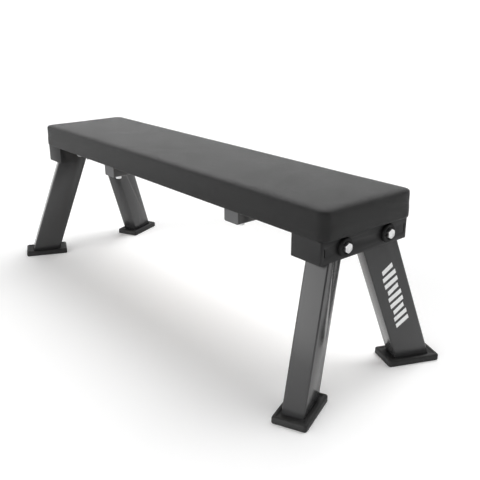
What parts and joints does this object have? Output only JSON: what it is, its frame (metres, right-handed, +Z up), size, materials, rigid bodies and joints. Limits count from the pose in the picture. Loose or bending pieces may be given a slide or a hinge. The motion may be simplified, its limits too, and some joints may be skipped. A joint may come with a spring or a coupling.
{
  "type": "weight bench",
  "caption": "Flat weight bench: long padded seat bolted to a steel spine and end brackets, on splayed rectangular legs with rubber shoes.",
  "frame": {"origin": "on the floor under the middle of the bench", "axes": "+X along the seat towards its front end, +Y across it to the left, +Z up"},
  "size_m": [1.319, 0.4948, 0.4185],
  "materials": {
    "cover": "black grained vinyl, satin",
    "foam": "open-cell foam",
    "board": "plain plywood",
    "bracket": "black powder coat, fine texture",
    "frame": "gunmetal grey powder coat, semi-gloss",
    "fastener": "bright zinc plate",
    "washer": "black satin",
    "shoe": "moulded black rubber, matt",
    "cap": "dark grey moulded plastic"
  },
  "bodies": {
    "root": {"front_bracket": "bracket", "front_inner_plate": "bracket", "front_left_arm_cap": "cap", "front_left_cross_arm": "frame", "front_left_dished_washer": "washer", "front_left_foot": "shoe", "front_left_leg": "frame", "front_left_leg_bolt": "fastener", "front_left_leg_nut": "fastener", "front_left_leg_sleeve": "fastener", "front_left_pad_bolt": "fastener", "front_left_rib": "bracket", "front_left_tee_nut": "fastener", "front_right_arm_cap": "cap", "front_right_cross_arm": "frame", "front_right_dished_washer": "washer", "front_right_foot": "shoe", "front_right_leg": "frame", "front_right_leg_bolt": "fastener", "front_right_leg_nut": "fastener", "front_right_leg_sleeve": "fastener", "front_right_pad_bolt": "fastener", "front_right_rib": "bracket", "front_right_tee_nut": "fastener", "pad_board": "board", "pad_cover": "cover", "pad_foam": "foam", "rear_bracket": "bracket", "rear_inner_plate": "bracket", "rear_left_arm_cap": "cap", "rear_left_cross_arm": "frame", "rear_left_dished_washer": "washer", "rear_left_foot": "shoe", "rear_left_leg": "frame", "rear_left_leg_bolt": "fastener", "rear_left_leg_nut": "fastener", "rear_left_leg_sleeve": "fastener", "rear_left_pad_bolt": "fastener", "rear_left_rib": "bracket", "rear_left_tee_nut": "fastener", "rear_right_arm_cap": "cap", "rear_right_cross_arm": "frame", "rear_right_dished_washer": "washer", "rear_right_foot": "shoe", "rear_right_leg": "frame", "rear_right_leg_bolt": "fastener", "rear_right_leg_nut": "fastener", "rear_right_leg_sleeve": "fastener", "rear_right_pad_bolt": "fastener", "rear_right_rib": "bracket", "rear_right_tee_nut": "fastener", "spine_tube": "frame"}
  },
  "joints": []
}
